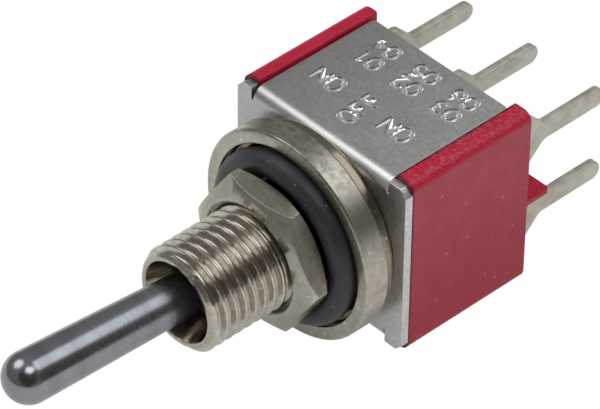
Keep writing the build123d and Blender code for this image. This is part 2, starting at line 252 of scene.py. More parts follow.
def plate_places(x, y, z, radius, mottle):
    """How much rough edge, painted shade, thin plate with painted shade, and rubbed corners there is at each
    place.
    """
    rim = radius.spread(*EDGE_RADIUS, 0.0, 1.0)
    # The shoulder behind the flange gets painted shade in the brown below.
    shoulder = rim * y.spread(*SHOULDER_FRONT, 0.0, 1.0)
    collar = radius.spread(*COLLAR_RADIUS, 0.0, 1.0)
    # Painted shade on the upper left of the flange and the nut, standing for a dark reflection.
    upper_left_shade = collar * x.spread(-5.0 * MM, 2.0 * MM, 0.50, 0.0) * z.spread(0.0, 4.0 * MM, 0.0, 1.0)
    # Painted shade on the flange's upper edge, standing for a dark reflection.
    upper_rim_shade = rim * z.spread(2.0 * MM, 5.5 * MM, 0.0, 1.0) * mottle.between(0.35, 1.0, 0.10)
    # Painted shade over the whole collar, heavier towards -X, gathered with the two above.
    painted_dark = (collar * x.spread(0.0, 5.0 * MM, 0.45, 0.25)).upper_of(upper_left_shade).upper_of(upper_rim_shade)
    roots = y.spread(*BARREL_END, 1.0, 0.0) * radius.spread(*ROOT_RADIUS, 0.32, 0.0)
    # The ring's groove is brown partly from thin plate and partly as painted shade between the ring and the
    # flange.
    groove = y.spread(*GROOVE_DEPTH, 0.0, 0.85) * radius.spread(*GROOVE_WALL, 1.0, 0.0)
    # Thin plate in the roots, painted shade on the shoulder, and both in the groove, as one share.
    thin_and_shaded = (shoulder * 0.85).upper_of(roots).upper_of(groove)
    corners = radius.spread(*CORNER_RADIUS, 0.0, 0.45) * y.spread(*NUT_REAR, 1.0, 0.0)
    return rim - shoulder, painted_dark, thin_and_shaded, corners * mottle.between(0.3, 1.0, 0.15)


print("places on the plate: edge, dull, thin and rubbed")

# %% Nickel plate
# The brown of thin plate, also used as painted shade on the shoulder and in the groove.
THIN_PLATE_AND_SHADE = (0.22, 0.16, 0.105, 1)
# The colour of the painted shade on the flange and the nut.
PAINTED_SHADE_PLATE = (0.30, 0.285, 0.23, 1)
BRIGHT_NICK = (0.90, 0.88, 0.84, 1)


def nickel_plate(name, dark, light, brown_share, dullness):
    finish = Finish(name, {"Metallic": 1.0})
    x, y, z = finish.axes(finish.place)
    radius = (x * x + z * z) ** 0.5
    rings = finish.noise(finish.point(radius, y, 0.0), 0.07 * MM, 2.0)
    patches = finish.noise(finish.place, 1.6 * MM, 4.0, 0.6)
    mottle = finish.noise(finish.place, 0.35 * MM, 4.0, 0.4)
    grain = finish.noise(finish.place, 0.12 * MM, 3.0)
    nicks = finish.spots(0.85 * MM, 0.10)
    edge, painted_dark, thin_and_shaded, rubbed = plate_places(x, y, z, radius, mottle)
    brown = patches.spread(0.42, 0.85, 0.0, brown_share).upper_of(thin_and_shaded)
    plate = finish.mix(mottle.between(0.0, 1.0, 0.15), dark, light)
    # Painted shade darkens the plate first; then thin plate, and painted shade on the shoulder and in the
    # groove, turn it brown.
    tinted = finish.mix(brown, finish.mix(painted_dark, plate, PAINTED_SHADE_PLATE), THIN_PLATE_AND_SHADE)
    worn = finish.mix(nicks.upper_of(rubbed), tinted, BRIGHT_NICK)
    height = rings * 0.5 + grain * 0.5 - nicks * 0.8
    polish = patches.between(0.10, 0.20) + grain.between(0.0, 0.06)
    rough = polish + edge * 0.16 + dullness
    return finish.feed(Base_Color=worn, Roughness=rough, Normal=finish.bump(height, 0.005 * MM))


nickel = nickel_plate("nickel_on_the_bushing", (0.52, 0.50, 0.425, 1), (0.66, 0.64, 0.56, 1), 0.35, 0.0)
nut_nickel = nickel_plate("nickel_on_the_nut", (0.44, 0.42, 0.345, 1), (0.56, 0.54, 0.455, 1), 0.22, 0.12)
print("nickel plate:", nickel.name, nut_nickel.name)

# %% [markdown]
# ### Polished lever steel
#
# The lever is harder, darker and a little blue. Its marks run round it, because it was polished while it
# turned, so the pattern changes mostly along the lever, which leans a little away from the bushing's axis.
# The polish is best at the tip and gets duller towards the mouth.

# %% Lever steel
LEAN = radians(-3.6)
PIVOT = Vector((0, -3.3, 0)) * MM
to_lever = Matrix.Rotation(-LEAN, 4, "Z") @ Matrix.Translation(-PIVOT)


def lever_steel_finish():
    finish = Finish("polished_lever_steel", {"Metallic": 1.0})
    turned = {"Vector": finish.place, "Location": to_lever.to_translation(), "Rotation": (0, 0, -LEAN)}
    x, y, z = finish.axes(finish.node("ShaderNodeMapping", {"vector_type": "POINT"}, turned))
    marks = finish.noise(finish.point(x * 0.10, y, z * 0.10), 0.11 * MM, 3.0)
    bands = finish.noise(finish.point(0.0, y, 0.0), 0.9 * MM, 2.0)
    grain = finish.noise(finish.place, 0.09 * MM, 2.0)
    specks = finish.spots(0.95 * MM, 0.07)
    steel = finish.mix(bands.between(0.0, 1.0), (0.265, 0.272, 0.295, 1), (0.335, 0.343, 0.368, 1))
    marked = finish.mix(specks * 0.6, steel, (0.10, 0.09, 0.09, 1))
    dulling = y.spread(-13.5 * MM, -5.0 * MM, 0.0, 0.12)
    rough = marks.between(0.13, 0.22) + grain.spread(0.4, 0.7, 0.0, 0.04) + dulling
    height = marks * 0.8 + grain * 0.2
    return finish.feed(Base_Color=marked, Roughness=rough, Normal=finish.bump(height, 0.004 * MM))


lever_steel = lever_steel_finish()
print("lever steel:", lever_steel.name)

# %% [markdown]
# ### Bracket steel
#
# The bracket is cold-rolled strip with a dull plate on it. It shows faint rolling lines along X and a fine
# mottled grain, and it is a neutral grey beside the warm nickel. It is painted darker towards -X as painted
# shade. The floors of the marks that are struck into its top leg are burnished and smoother, and their
# near-white colour is partly a painted glint.

# %% Bracket steel
STRUCK_FLOOR = (5.41 * MM, 5.46 * MM)
TOP_LEG = 5.25 * MM
LEG_FRONT = 3.25 * MM


def bracket_steel_finish():
    finish = Finish("dull_bracket_steel", {"Metallic": 1.0})
    x, y, z = finish.axes(finish.place)
    rolled = finish.noise(finish.point(x * 0.12, y, z), 0.16 * MM, 3.0)
    mottle = finish.noise(finish.place, 0.22 * MM, 4.0, 0.3)
    clouds = finish.noise(finish.place, 1.9 * MM, 3.0, 0.8)
    tone = mottle * 0.55 + rolled * 0.20 + clouds * 0.25
    steel = finish.mix(tone.between(0.0, 1.0, 0.12), (0.60, 0.605, 0.605, 1), (0.78, 0.785, 0.785, 1))
    struck = z.spread(*STRUCK_FLOOR, 1.0, 0.0) * z.above(TOP_LEG) * y.above(LEG_FRONT)
    side_shade = x.spread(-6.0 * MM, 5.0 * MM, 0.42, 0.0)
    shaded = finish.mix(side_shade, steel, (0.20, 0.20, 0.20, 1))
    # The struck floors are burnished, and their near-white colour is partly a painted glint.
    burnished_and_glint = finish.mix(struck, shaded, (0.95, 0.955, 0.96, 1))
    rough = mottle.between(0.34, 0.42) - struck * 0.20
    height = mottle * 0.6 + rolled * 0.4
    return finish.feed(Base_Color=burnished_and_glint, Roughness=rough, Normal=finish.bump(height, 0.003 * MM))


bracket_steel = bracket_steel_finish()
print("bracket steel:", bracket_steel.name)

# %% [markdown]
# ### Moulded case
#
# The case is a dark red thermoset. Its skin is nearly matt, with a fine grain and scattered pale specks. Its
# sides are scuffed and paler, partly as a painted sheen, and painted shade makes them darker downwards. Pale
# dust lies on the ledges beside the bracket. Painted shade lies as dark lines in the seams along the
# bracket's leg and behind its front plate.

# %% Moulded case
# Each pair says where a change along X, Y or Z starts and ends.
SIDE_SKIN = (6.30 * MM, 6.34 * MM)
LEG_SEAM = (5.24 * MM, 5.32 * MM)
PLATE_SEAM = (2.94 * MM, 3.08 * MM)
LEDGE_HEIGHT = (5.35 * MM, 5.60 * MM)
RIGHT_SIDE = 5.0 * MM
TOP_FACE = 5.3 * MM
# The colour of the painted shade in the seams.
SEAM_SHADE = (0.05, 0.0, 0.006, 1)
PALE_DUST = (0.70, 0.42, 0.46, 1)


def case_resin_finish():
    finish = Finish("red_moulded_case", {"Specular IOR Level": 0.38})
    clouds = finish.noise(finish.place, 1.3 * MM, 4.0, 0.4)
    grain = finish.noise(finish.place, 0.14 * MM, 4.0)
    large = finish.spots(1.25 * MM, 0.11)
    small = finish.spots(0.55 * MM, 0.13)
    specks = (large * 0.30 + small * 0.16).lower_of(0.5)
    red = finish.mix(clouds.between(0.0, 1.0, 0.15), (0.56, 0.004, 0.040, 1), (0.66, 0.008, 0.055, 1))
    x, y, z = finish.axes(finish.place)
    # The sides are paler, partly from scuffs and partly as a painted sheen.
    side_scuff_and_sheen = abs(x).spread(*SIDE_SKIN, 0.0, 1.0)
    # Painted shade makes the sides' colour darker towards the bottom.
    scuff_sheen_and_shade = finish.mix(z.spread(-3.0 * MM, 4.0 * MM, 1.0, 0.0), (0.30, 0.14, 0.17, 1), (0.16, 0.06, 0.08, 1))
    duller = finish.mix(side_scuff_and_sheen * clouds.between(0.26, 0.40), red, scuff_sheen_and_shade)
    # Painted shade along the seam beside the bracket's right leg.
    leg_seam_shade = x.spread(*LEG_SEAM, 0.92, 0.0) * x.above(RIGHT_SIDE) * z.above(TOP_FACE)
    # Painted shade behind the bracket's front plate.
    plate_seam_shade = y.spread(*PLATE_SEAM, 0.75, 0.0)
    seam_shaded = finish.mix(leg_seam_shade.upper_of(plate_seam_shade), duller, SEAM_SHADE)
    ledge = z.spread(*LEDGE_HEIGHT, 0.0, 1.0) * x.spread(-2.0 * MM, 2.0 * MM, 0.25, 1.0)
    powder = finish.noise(finish.place, 0.16 * MM, 3.0).spread(0.46, 0.74, 0.0, 0.26) * ledge
    dusty = finish.mix(specks.upper_of(powder), seam_shaded, PALE_DUST)
    rough = grain.between(0.36, 0.52)
    height = grain * 0.7 + clouds * 0.3 + specks * 0.6
    return finish.feed(Base_Color=dusty, Roughness=rough, Normal=finish.bump(height, 0.012 * MM))


case_resin = case_resin_finish()
print("case:", case_resin.name)

# %% [markdown]
# ### Rubber, tin and resin
#
# Rubber is almost black with a satin skin and a little dust. The pins are copper strip dipped in tin, which
# dries dull, with soft clouds and a yellow tinge. The sealing resin is glossy and much darker than the case.

# %% Rubber
def rubber_finish():
    finish = Finish("black_rubber", {"Specular IOR Level": 0.45})
    grain = finish.noise(finish.place, 0.10 * MM, 3.0)
    clouds = finish.noise(finish.place, 0.9 * MM, 3.0)
    dust = finish.spots(0.75 * MM, 0.085)
    black = finish.mix(clouds, (0.028, 0.029, 0.034, 1), (0.046, 0.048, 0.056, 1))
    dusty = finish.mix(dust * 0.55, black, (0.42, 0.43, 0.46, 1))
    rough = clouds.between(0.34, 0.48)
    return finish.feed(Base_Color=dusty, Roughness=rough, Normal=finish.bump(grain + dust * 0.5, 0.010 * MM))


rubber = rubber_finish()
print("rubber:", rubber.name)

# %% Dull tin
def tin_finish():
    finish = Finish("dull_tinned_copper", {"Metallic": 0.85})
    clouds = finish.noise(finish.place, 0.75 * MM, 4.0, 0.7)
    grain = finish.noise(finish.place, 0.10 * MM, 3.0)
    stains = finish.noise(finish.place, 1.7 * MM, 3.0, 1.2).spread(0.52, 0.72, 0.0, 0.45)
    bright = finish.mix(clouds.between(0.0, 1.0, 0.15), (0.56, 0.545, 0.46, 1), (0.70, 0.685, 0.60, 1))
    stained = finish.mix(stains, bright, (0.42, 0.34, 0.24, 1))
    skin = finish.bump(clouds * 0.7 + grain * 0.3, 0.030 * MM)
    return finish.feed(Base_Color=stained, Roughness=clouds.between(0.46, 0.62), Normal=skin)


tin = tin_finish()
print("tin:", tin.name)

# %% Sealing resin
def sealing_resin_finish():
    finish = Finish("dark_sealing_resin", {"Coat Weight": 0.6, "Coat Roughness": 0.15})
    clouds = finish.noise(finish.place, 0.8 * MM, 3.0, 0.5)
    dark = finish.mix(clouds, (0.045, 0.010, 0.012, 1), (0.085, 0.020, 0.024, 1))
    rough = clouds.between(0.18, 0.34)
    return finish.feed(Base_Color=dark, Roughness=rough, Normal=finish.bump(clouds, 0.05 * MM))


sealing_resin = sealing_resin_finish()
print("sealing resin:", sealing_resin.name)

# %% [markdown]
# ### What is hidden inside
#
# Nobody sees the works until the switch is cut open or its pieces are shown apart. They still get real
# finishes: nylon, rolled contact strip, silver and drawn spring wire.

# %% Finishes of the works
NYLON_COLOURS = ((0.66, 0.63, 0.55, 1), (0.74, 0.71, 0.63, 1))
SILVER_COLOURS = ((0.74, 0.74, 0.71, 1), (0.84, 0.84, 0.82, 1))
COPPER_COLOURS = ((0.62, 0.36, 0.22, 1), (0.74, 0.47, 0.30, 1))
STEEL_COLOURS = ((0.46, 0.46, 0.47, 1), (0.60, 0.60, 0.61, 1))


def works_finish(name, metallic, colours, grain_size, roughness):
    finish = Finish(name, {"Metallic": metallic})
    clouds = finish.noise(finish.place, 0.6 * MM, 3.0)
    grain = finish.noise(finish.place, grain_size, 3.0)
    colour = finish.mix(clouds.between(0.0, 1.0), *colours)
    rough = grain.between(*roughness)
    return finish.feed(Base_Color=colour, Roughness=rough, Normal=finish.bump(grain, grain_size * 0.04))


nylon = works_finish("moulded_nylon", 0.0, NYLON_COLOURS, 0.15 * MM, (0.42, 0.56))
silver = works_finish("contact_silver", 1.0, SILVER_COLOURS, 0.05 * MM, (0.20, 0.34))
copper = works_finish("contact_copper", 1.0, COPPER_COLOURS, 0.08 * MM, (0.24, 0.38))
wire = works_finish("drawn_steel", 1.0, STEEL_COLOURS, 0.05 * MM, (0.20, 0.32))
works = {
    "actuator": nylon,
    "fixed_contacts": silver,
    "moving_contacts_upper": silver,
    "moving_contacts_lower": silver,
    "rocker_upper": copper,
    "rocker_lower": copper,
    "plunger_upper": wire,
    "plunger_lower": wire,
    "pivot_pin": wire,
    "terminal_seal_upper": sealing_resin,
    "terminal_seal_lower": sealing_resin,
}
for node, surface in works.items():
    frame["nodes"][node].data.materials.clear()
    frame["nodes"][node].data.materials.append(surface)
print("finished as they are:", len(works), "nodes")

# %% [markdown]
# ## Making pieces
#
# Four small helpers serve all the pieces. One puts a mesh into the scene, one takes a plain mesh from an
# object with modifiers, one shades it, and one puts a finished piece in the place of its node.

# %% Helpers for pieces
node_bodies = {
    node: body for body, nodes in frame["record"]["behaviour"]["bodies"].items() for node in nodes
}


def mesh_object(name, shape):
    """Put a bmesh into the scene as an object at the origin."""
    mesh = bpy.data.meshes.new(name)
    shape.to_mesh(mesh)
    shape.free()
    made = bpy.data.objects.new(name, mesh)
    bpy.context.collection.objects.link(made)
    return made


def flattened(made):
    """A plain mesh object with what the modifiers of made show; made itself is removed."""
    depsgraph = bpy.context.evaluated_depsgraph_get()
    mesh = bpy.data.meshes.new_from_object(made.evaluated_get(depsgraph), depsgraph=depsgraph)
    name = made.name
    bpy.data.objects.remove(made)
    plain = bpy.data.objects.new(name, mesh)
    mesh.name = name
    bpy.context.collection.objects.link(plain)
    return plain


def shade(made, sharp_angle):
    """Smooth shading, apart from edges that are sharper than the angle in degrees."""
    made.data.shade_smooth()
    made.data.set_sharp_from_angle(angle=radians(sharp_angle))


def dress(piece, node, surface):
    """The piece stands for a CAD node, rides with its body and takes a finish."""
    piece.data.materials.clear()
    piece.data.materials.append(surface)
    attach(piece, node_bodies[node])
    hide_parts(node)
    print(f"{piece.name}: {len(piece.data.polygons)} faces for {node}")


print("bodies that pieces can ride:", sorted(set(node_bodies.values())))

# %% [markdown]
# ## Edges that catch the light
#
# No stamped, moulded or turned edge is perfectly sharp. A copy of the CAD solid has its loose triangles
# joined and its flat faces cleared, and then a narrow bevel breaks every edge. Weighted normals keep the
# large faces flat, so only the bevels bend the reflections.

# %% Eased copies of CAD solids
SAME_POINT = 0.0005 * MM
FLAT_WITHIN = radians(1)
EASED_FROM = radians(30)


def clean_copy(node, name):
    """The node's solid with its triangles joined and its flat faces cleared."""
    shape = bmesh.new()
    shape.from_mesh(frame["nodes"][node].data)
    bmesh.ops.remove_doubles(shape, verts=shape.verts, dist=SAME_POINT)
    bmesh.ops.dissolve_limit(
        shape, angle_limit=FLAT_WITHIN, use_dissolve_boundaries=False, verts=shape.verts, edges=shape.edges
    )
    return mesh_object(name, shape)


def eased_copy(node, name, width, rounds=2):
    """A clean copy whose edges, where they are sharp enough to show, are eased to that width."""
    piece = clean_copy(node, name)
    bevel = piece.modifiers.new("ease", "BEVEL")
    bevel.width = width
    bevel.segments = rounds
    bevel.limit_method = "ANGLE"
    bevel.angle_limit = EASED_FROM
    bevel.use_clamp_overlap = True
    return flattened(piece)


def smooth_with_flats(piece, sharp_angle):
    """Smooth shading in which large faces keep their own normals, so only narrow faces bend the light."""
    shade(piece, sharp_angle)
    weights = piece.modifiers.new("weights", "WEIGHTED_NORMAL")
    weights.keep_sharp = True
    weights.weight = 100
    return flattened(piece)


moulded_case = smooth_with_flats(eased_copy("case", "moulded_case", width=0.05 * MM), sharp_angle=40)
dress(moulded_case, "case", case_resin)

# %% Terminals and nut
for number in range(1, 7):
    pin = eased_copy(f"terminal_{number}", f"tinned_terminal_{number}", width=0.09 * MM, rounds=3)
    shade(pin, sharp_angle=60)
    dress(pin, f"terminal_{number}", tin)
chamfered_nut = smooth_with_flats(eased_copy("hex_nut", "chamfered_nut", width=0.045 * MM), sharp_angle=28)
dress(chamfered_nut, "hex_nut", nut_nickel)

# %% [markdown]
# ## Turned pieces
#
# A lathe makes a shape by holding a profile against a spinning bar, and so does this helper: it spins a
# profile of (place along Y, radius) pairs. Each corner of the profile is first eased by a few points, so
# that smooth shading stays flat on the flat faces.

# %% Easing a profile
LONGEST_EASE = 0.22


def eased_profile(corners, ease):
    """Replace each corner of a closed profile by six points; the outer two hold the flats flat."""
    points = []
    for index, corner in enumerate(corners):
        before = corners[index - 1]
        after = corners[(index + 1) % len(corners)]
        back = (before - corner).normalized()
        ahead = (after - corner).normalized()
        room = min((before - corner).length, (after - corner).length) * LONGEST_EASE
        reach = min(ease, room)
        points.append(corner + back * reach * 2)
        points.append(corner + back * reach)
        for share in (1 / 3, 2 / 3):
            points.append(corner + back * reach * (1 - share) ** 2 + ahead * reach * share**2)
        points.append(corner + ahead * reach)
        points.append(corner + ahead * reach * 2)
    return points


print("an ease takes at most", LONGEST_EASE, "of the shorter side beside its corner")

# %% A lathe
ON_AXIS = 1e-9


def turned_piece(name, points, steps, closed):
    """Spin (place, radius) points about Y; points on the axis become poles."""
    shape = bmesh.new()
    rings = []
    for place, radius in points:
        if radius < ON_AXIS:
            rings.append([shape.verts.new((0, place, 0))])
            continue
        angles = (2 * pi * step / steps for step in range(steps))
        rings.append([shape.verts.new((radius * cos(a), place, radius * sin(a))) for a in angles])
    pairs = list(zip(rings, rings[1:]))
    if closed:
        pairs.append((rings[-1], rings[0]))
    for near, far in pairs:
        for step in range(steps):
            ahead = (step + 1) % steps
            near_pair = [near[step % len(near)], near[ahead % len(near)]]
            far_pair = [far[ahead % len(far)], far[step % len(far)]]
            shape.faces.new(list(dict.fromkeys(near_pair + far_pair)))
    bmesh.ops.recalc_face_normals(shape, faces=shape.faces)
    return mesh_object(name, shape)


print("the lathe is ready")

# %% [markdown]
# ## Lever
#
# Bat, waist, ball and tail are one turned bar. The bat swells gently towards its round tip. It is spun
# upright about the bushing's axis, and its points are then leaned about the pivot.

# %% The lever's profile
TIP_CENTRE = 13.70
TIP_RADIUS = 1.44
BAT_MIDDLE = (-9.0, 1.345)
BAT_MOUTH = (-4.46, 1.25)
WAIST_PLACE = -2.25
WAIST_RADIUS = 1.06
BALL_RADIUS = 2.30
TAIL_RADIUS = 0.85
TAIL_CHAMFER = 0.1
lever_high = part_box("lever")[1]
tail_end = (lever_high.y - PIVOT.y) / MM / cos(LEAN)
tip_arc = [
    Vector((-TIP_CENTRE - TIP_RADIUS * cos(a), TIP_RADIUS * sin(a)))
    for a in (radians(6 * step) for step in range(15))
]
waist_angle = acos(sqrt(BALL_RADIUS**2 - WAIST_RADIUS**2) / BALL_RADIUS)
tail_angle = acos(sqrt(BALL_RADIUS**2 - TAIL_RADIUS**2) / BALL_RADIUS)
ball_arc = [
    Vector((-BALL_RADIUS * cos(a), BALL_RADIUS * sin(a)))
    for a in (waist_angle + (pi - waist_angle - tail_angle) * step / 24 for step in range(25))
]
flank_corners = ((-TIP_CENTRE, TIP_RADIUS), BAT_MIDDLE, BAT_MOUTH, (WAIST_PLACE, WAIST_RADIUS))
flank = [Vector(corner) for corner in flank_corners]
tail_corners = ((tail_end - TAIL_CHAMFER, TAIL_RADIUS), (tail_end, TAIL_RADIUS - TAIL_CHAMFER), (tail_end, 0))
tail = [Vector(corner) for corner in tail_corners]
print(f"lever: {TIP_CENTRE + TIP_RADIUS + tail_end:.2f} mm long")

# %% Lever
lever_points = [point * MM for point in tip_arc + flank + ball_arc + tail]
# The first point of the tip lies on the axis.
lever_points[0].y = 0
polished_lever = turned_piece("polished_lever", lever_points, steps=96, closed=False)
polished_lever.data.transform(Matrix.Translation(PIVOT) @ Matrix.Rotation(LEAN, 4, "Z"))
shade(polished_lever, 32)
dress(polished_lever, "lever", lever_steel)

# %% [markdown]
# ## Bushing and its thread
#
# The bushing is spun from one closed profile: barrel, flange with its ring groove, shoulder and spigot. The
# thread follows a rule, so Geometry Nodes cut it: each point of the barrel is pulled in to a radius that
# depends on how far it is along the helix. The barrel has many rings, because a thread's crest is narrow.

# %% Bushing sizes
MOUTH_END = -7.76
MOUTH_RADIUS = 2.39
MOUTH_FACE = (2.41, 2.58)
MOUTH_EDGE = 2.60
CHAMFER_LENGTH = 0.34
CHAMFER_DEPTH = 0.40
BARREL_FRONT = -7.42
BARREL_REAR = 0.62
THREAD_RADIUS = 3.00
NECK_FRONT = -5.90
NECK_REAR = -4.75
NECK_RADIUS = 1.85
SEAT_FRONT = -3.30
SEAT_RADIUS = 2.35
GROOVE_FLOOR = 0.72
GROOVE_RADIUS = 5.35
FLANGE_RADIUS = 6.17
FLANGE_REAR = 1.55
FLANGE_CHAMFER = 0.12
SHOULDER_RADIUS = 5.86
SHOULDER_REAR = 2.40
SHOULDER_CHAMFER = 0.30
SPIGOT_RADIUS = 3.90
SPIGOT_REAR = 2.90
STAKE_RADIUS = 4.15
STAKE_REAR = 3.25
REAR_BORE_RADIUS = 3.30
REAR_BORE_FRONT = 1.15
print(f"bushing: {STAKE_REAR - MOUTH_END:.2f} mm long, flange {2 * FLANGE_RADIUS:.2f} mm across")

# %% Barrel and mouth of the bushing
BARREL_RINGS = 250
CHAMFER_STEPS = 8
barrel = [
    Vector((BARREL_FRONT + (BARREL_REAR - BARREL_FRONT) * ring / BARREL_RINGS, THREAD_RADIUS))
    for ring in range(BARREL_RINGS + 1)
]
mouth_face = [Vector((MOUTH_END, radius)) for radius in MOUTH_FACE]
mouth_chamfer = [
    Vector((MOUTH_END + CHAMFER_LENGTH * share, MOUTH_EDGE + CHAMFER_DEPTH * share))
    for share in (step / CHAMFER_STEPS for step in range(CHAMFER_STEPS))
]
print("barrel:", len(barrel), "points, mouth:", len(mouth_face + mouth_chamfer))

# %% Bushing blank
BODY_EASE = 0.07
body_corners = [
    (GROOVE_FLOOR, THREAD_RADIUS),
    (GROOVE_FLOOR, GROOVE_RADIUS),
    (0.0, GROOVE_RADIUS),
    (0.0, FLANGE_RADIUS - FLANGE_CHAMFER),
    (FLANGE_CHAMFER, FLANGE_RADIUS),
    (FLANGE_REAR - FLANGE_CHAMFER, FLANGE_RADIUS),
    (FLANGE_REAR, FLANGE_RADIUS - FLANGE_CHAMFER),
    (FLANGE_REAR, SHOULDER_RADIUS),
    (SHOULDER_REAR - SHOULDER_CHAMFER, SHOULDER_RADIUS),
    (SHOULDER_REAR, SHOULDER_RADIUS - SHOULDER_CHAMFER),
    (SHOULDER_REAR, SPIGOT_RADIUS),
    (SPIGOT_REAR, SPIGOT_RADIUS),
    (SPIGOT_REAR, STAKE_RADIUS),
    (STAKE_REAR, SPIGOT_RADIUS),
    (STAKE_REAR, REAR_BORE_RADIUS),
    (REAR_BORE_FRONT, REAR_BORE_RADIUS),
    (REAR_BORE_FRONT, SEAT_RADIUS),
    (SEAT_FRONT, SEAT_RADIUS),
    (NECK_REAR, NECK_RADIUS),
    (NECK_FRONT, NECK_RADIUS),
    (MOUTH_END, MOUTH_RADIUS),
]
eased_body = eased_profile([Vector(corner) for corner in body_corners], BODY_EASE)
# The barrel and the mouth take the place of the first three and the last three points.
bushing_points = [point * MM for point in barrel + eased_body[3:-3] + mouth_face + mouth_chamfer]
threaded_bushing = turned_piece("threaded_bushing", bushing_points, steps=160, closed=True)
print("bushing blank:", len(threaded_bushing.data.vertices), "points")

# %% A rule in Geometry Nodes
class Rule(Tree):
    """A Geometry Nodes tree with named inputs, set by identifier on a modifier."""

    def __init__(self, name, inputs):
        super().__init__(bpy.data.node_groups.new(name, "GeometryNodeTree"))
        face = self.node_tree.interface
        face.new_socket("Geometry", in_out="INPUT", socket_type="NodeSocketGeometry")
        self.identifiers = {
            label: face.new_socket(label, in_out="INPUT", socket_type="NodeSocketFloat").identifier
            for label in inputs
        }
        face.new_socket("Geometry", in_out="OUTPUT", socket_type="NodeSocketGeometry")
        start = self.node_tree.nodes.new("NodeGroupInput")
        self.inputs = {socket.name: Value(self, socket) for socket in start.outputs if socket.name}

    def finish_with(self, geometry, material):
        """Realize what repeats, set the material and give the geometry out."""
        real = self.node("GeometryNodeRealizeInstances", {}, {"Geometry": geometry})
        coated = self.node("GeometryNodeSetMaterial", {}, {"Geometry": real, "Material": material})
        end = self.node_tree.nodes.new("NodeGroupOutput")
        self.node_tree.links.new(coated.socket, end.inputs[0])

    def apply_to(self, made, values):
        """Set the inputs on made and give back the plain mesh that the rule makes."""
        modifier = made.modifiers.new(self.node_tree.name, "NODES")
        modifier.node_group = self.node_tree
        for label, value in values.items():
            modifier[self.identifiers[label]] = value
        return flattened(made)


print("rules can be written in Geometry Nodes")

# %% The rule for the thread
WALL_RADIUS = (2.5 * MM, 3.05 * MM)
ROOT_SHARE = 0.95
thread_rule = Rule("cut_thread", ["Pitch", "Depth", "Crest radius", "Crest share", "Start", "Phase"])
given = thread_rule.inputs
x, y, z = thread_rule.axes(thread_rule.node("GeometryNodeInputPosition"))
across = thread_rule.point(x, 0.0, z)
radius = thread_rule.node("ShaderNodeVectorMath", {"operation": "LENGTH"}, {0: across}, "Value")
turn = z.math("ARCTAN2", x) / (2 * pi)
phase = y / given["Pitch"] + turn - given["Phase"]
off_crest = phase.math("PINGPONG", 0.5) * 2
flank_share = off_crest.spread(given["Crest share"], ROOT_SHARE, 0.0, 1.0)
valley = 1 - (1 - flank_share) * (1 - flank_share)
cut = radius.lower_of(given["Crest radius"] - given["Depth"] * valley)
pull = cut / radius
barrel_only = radius.above(WALL_RADIUS[0]) * (WALL_RADIUS[1] - radius).above(0.0)
outside = barrel_only * (given["Start"] - y).above(0.0)
target = thread_rule.point(x * pull, y, z * pull)
move = {"Geometry": given["Geometry"], "Selection": outside, "Position": target}
thread_rule.finish_with(thread_rule.node("GeometryNodeSetPosition", {}, move), nickel)
print("nodes in the thread's rule:", len(thread_rule.node_tree.nodes))

# %% Cut the thread
thread_sizes = {
    "Pitch": 0.66 * MM,
    "Depth": 0.40 * MM,
    "Crest radius": THREAD_RADIUS * MM,
    "Crest share": 0.13,
    "Start": -0.72 * MM,
    "Phase": 0.669,
}
threaded_bushing = thread_rule.apply_to(threaded_bushing, thread_sizes)
shade(threaded_bushing, 70)
dress(threaded_bushing, "bushing", nickel)

# %% [markdown]
# ## Rings of rubber
#
# An O-ring is a circle swept along a circle. Geometry Nodes do that with Curve to Mesh. The same rule makes
# the large ring in the flange and the small seal in the lever's ball, which leans with the lever.

# %% The rule for an O-ring
# %% The rule for an O-ring
def circle(rule, points, radius):
    return rule.node("GeometryNodeCurvePrimitiveCircle", {}, {"Resolution": points, "Radius": radius})


def swept(rule, path, section, capped=False):
    """A section swept along a path, with its ends closed if it is capped."""
    sockets = {"Curve": path, "Profile Curve": section, "Fill Caps": capped}
    return rule.node("GeometryNodeCurveToMesh", {}, sockets)


ring_rule = Rule("sweep_ring", ["Ring radius", "Wire radius"])
ring_path = circle(ring_rule, 128, ring_rule.inputs["Ring radius"])
ring_section = circle(ring_rule, 28, ring_rule.inputs["Wire radius"])
ring_body = {"Geometry": swept(ring_rule, ring_path, ring_section)}
ring_rule.finish_with(ring_rule.node("GeometryNodeSetShadeSmooth", {}, ring_body), rubber)
print("nodes in the ring's rule:", len(ring_rule.node_tree.nodes))

# %% Both rings
SEAL_WIRE = 0.70 * MM
SEAL_PLACE = -1.1 * MM


def rubber_ring(name, node, ring_radius, wire_radius, place):
    """A rubber ring about Y that is moved to its place and stands for the node."""
    sizes = {"Ring radius": ring_radius, "Wire radius": wire_radius}
    ring = ring_rule.apply_to(mesh_object(name, bmesh.new()), sizes)
    ring.data.transform(place @ Matrix.Rotation(pi / 2, 4, "X"))
    dress(ring, node, rubber)


ring_low, ring_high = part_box("panel_o_ring")
ring_wire = ring_high.y - ring_low.y
ring_middle = Matrix.Translation((0, (ring_high.y + ring_low.y) / 2, 0))
rubber_ring("panel_ring", "panel_o_ring", ring_high.z - ring_wire / 2, ring_wire / 2, ring_middle)
seal_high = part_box("lever_seal")[1]
seal_shift = Matrix.Translation((0, SEAL_PLACE, 0))
seal_place = Matrix.Translation(PIVOT) @ Matrix.Rotation(LEAN, 4, "Z") @ seal_shift
rubber_ring("small_lever_seal", "lever_seal", seal_high.z - SEAL_WIRE / 2, SEAL_WIRE / 2, seal_place)

# %% [markdown]
# ## Coil springs
#
# A small coil spring behind each plunger pushes it against its contact rocker. A spring is a circle swept
# along a spiral, so Geometry Nodes wind it from sizes that are read off the CAD solid.

